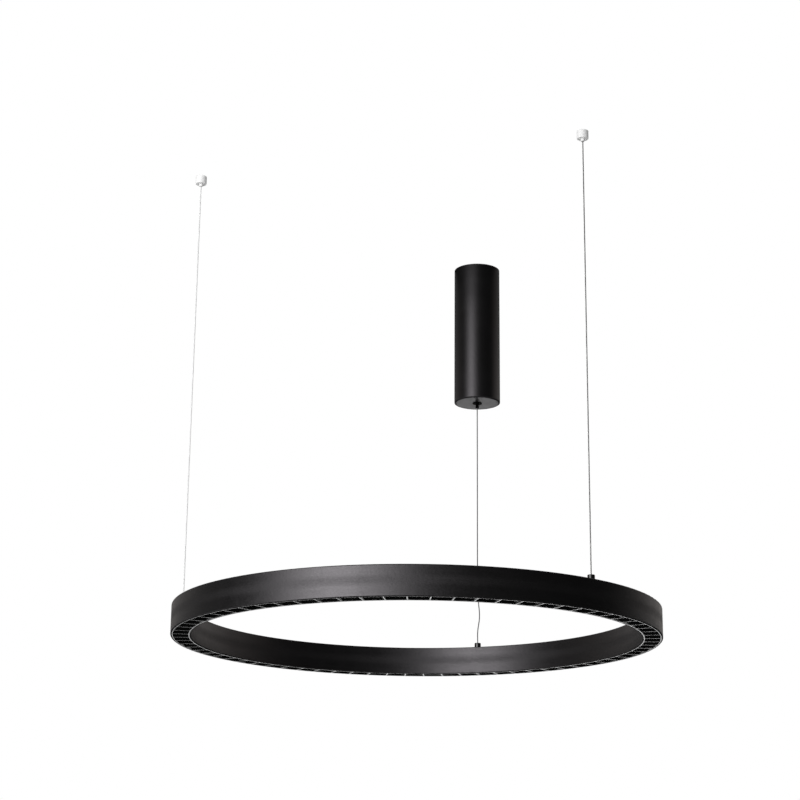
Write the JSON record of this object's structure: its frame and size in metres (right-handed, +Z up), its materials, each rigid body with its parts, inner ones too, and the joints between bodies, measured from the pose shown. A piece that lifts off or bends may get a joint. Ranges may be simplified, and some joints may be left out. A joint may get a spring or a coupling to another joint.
{
  "type": "led pendant light",
  "caption": "Matte black ring pendant light with a glare louvre, hung on thin wires from a tall round driver canopy and ceiling anchors.",
  "frame": {"origin": "middle of the ceiling plate's top face, on the ceiling", "axes": "+Z up into the ceiling; the ring's axis lies at -Y from the canopy, and the side wires at -X and +X"},
  "size_m": [0.6, 0.62, 0.5856],
  "materials": {
    "black_profile": "satin black powder coat",
    "black_canopy": "satin black powder coat",
    "black_louvre": "glossy black moulding",
    "black_fitting": "black nickel plating",
    "wire_steel": "stranded steel in a clear jacket",
    "plain_steel": "zinc plated",
    "plain_aluminium": "mill finish",
    "board_white": "white solder mask",
    "led_phosphor": "phosphor gel",
    "white_fitting": "white moulding",
    "driver_plastic": "white moulding",
    "lead_insulation": "soft insulation"
  },
  "bodies": {
    "ceiling": {"ceiling_plate": "plain_steel", "driver_bracket": "plain_steel", "driver_case": "driver_plastic", "mains_terminal": "white_fitting", "mains_leads": "lead_insulation", "output_connector": "white_fitting", "output_leads": "lead_insulation", "wire_clamp": "plain_steel", "clamp_screw": "plain_steel", "wire_tail": "lead_insulation", "left_anchor_base": "plain_steel", "left_anchor_cup": "white_fitting", "right_anchor_base": "plain_steel", "right_anchor_cup": "white_fitting", "middle_wire": "wire_steel", "left_wire": "wire_steel", "right_wire": "wire_steel"},
    "canopy": {"canopy_tube": "black_canopy", "grub_screws": "black_fitting", "end_disc": "black_canopy", "grip_barrel": "black_fitting", "grip_nut": "plain_steel"},
    "canopy_release": {"canopy_nozzle": "black_fitting"},
    "left_release": {"left_nozzle": "white_fitting"},
    "right_release": {"right_nozzle": "white_fitting"},
    "ring": {"board_links": "white_fitting", "feed_lead": "lead_insulation", "feed_tail": "lead_insulation", "feed_terminal": "white_fitting", "led_board_1": "board_white", "led_board_2": "board_white", "led_board_3": "board_white", "led_board_4": "board_white", "led_board_5": "board_white", "led_board_6": "board_white", "led_packages": "led_phosphor", "left_cap": "black_fitting", "left_ferrule": "plain_aluminium", "left_saddle": "plain_aluminium", "left_top_cover": "black_profile", "louvre_1": "black_louvre", "louvre_2": "black_louvre", "louvre_3": "black_louvre", "louvre_4": "black_louvre", "louvre_5": "black_louvre", "louvre_6": "black_louvre", "middle_cap": "black_fitting", "middle_ferrule": "plain_aluminium", "middle_saddle": "plain_aluminium", "middle_top_cover": "black_profile", "right_cap": "black_fitting", "right_ferrule": "plain_aluminium", "right_saddle": "plain_aluminium", "right_top_cover": "black_profile", "ring_profile": "black_profile"}
  },
  "joints": [
    {"name": "canopy_slide", "type": "slide", "parent": "ceiling", "child": "canopy", "axis": [0, 0, -1], "range_m": [0, 0.18]},
    {"name": "ring_height", "type": "slide", "parent": "ceiling", "child": "ring", "axis": [0, 0, 1], "range_m": [0, 0.12], "deforming": ["middle_wire", "left_wire", "right_wire"]},
    {"name": "canopy_release_push", "type": "slide", "parent": "canopy", "child": "canopy_release", "axis": [0, 0, 1], "range_m": [0, 0.002], "stiffness_N_per_m": 900},
    {"name": "left_release_push", "type": "slide", "parent": "ceiling", "child": "left_release", "axis": [0, 0, 1], "range_m": [0, 0.002], "stiffness_N_per_m": 900},
    {"name": "right_release_push", "type": "slide", "parent": "ceiling", "child": "right_release", "axis": [0, 0, 1], "range_m": [0, 0.002], "stiffness_N_per_m": 900}
  ]
}
